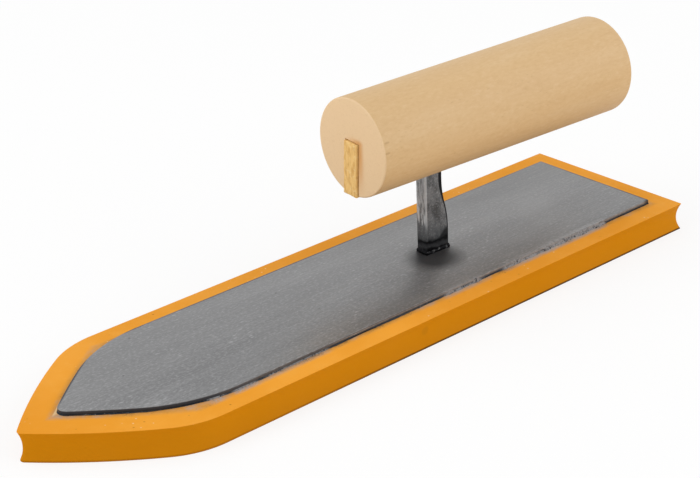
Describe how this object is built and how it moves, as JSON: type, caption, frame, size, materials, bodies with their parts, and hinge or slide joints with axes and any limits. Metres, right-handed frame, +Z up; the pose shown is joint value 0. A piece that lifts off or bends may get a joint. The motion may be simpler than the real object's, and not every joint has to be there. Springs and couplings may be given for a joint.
{
  "type": "rubber finishing trowel",
  "caption": "Finishing trowel with a pointed rubber pad bonded under a thin steel plate, a forged neck welded to the plate and a round wooden handle over its tang.",
  "frame": {"origin": "centre of the pad's sole, on the surface that the trowel rests on", "axes": "+X from the tip to the back edge, +Y across the pad, +Z up from the sole to the handle"},
  "size_m": [0.26, 0.07, 0.0765],
  "materials": {
    "orange_rubber": "matte moulded rubber, hollow edge",
    "adhesive": "dark contact adhesive, squeezed out at the edge",
    "plate_steel": "rolled and lightly brushed along its length",
    "forged_steel": "forged, edges ground bright",
    "weld_metal": "heat-blackened weld",
    "pale_wood": "plain turned beech, unvarnished",
    "strip_wood": "rough sawn softwood"
  },
  "bodies": {
    "root": {"rubber_pad": "orange_rubber", "bond_layer": "adhesive", "backing_plate": "plate_steel", "neck": "forged_steel", "weld_bead": "weld_metal", "handle": "pale_wood", "slot_filler": "strip_wood"}
  },
  "joints": []
}
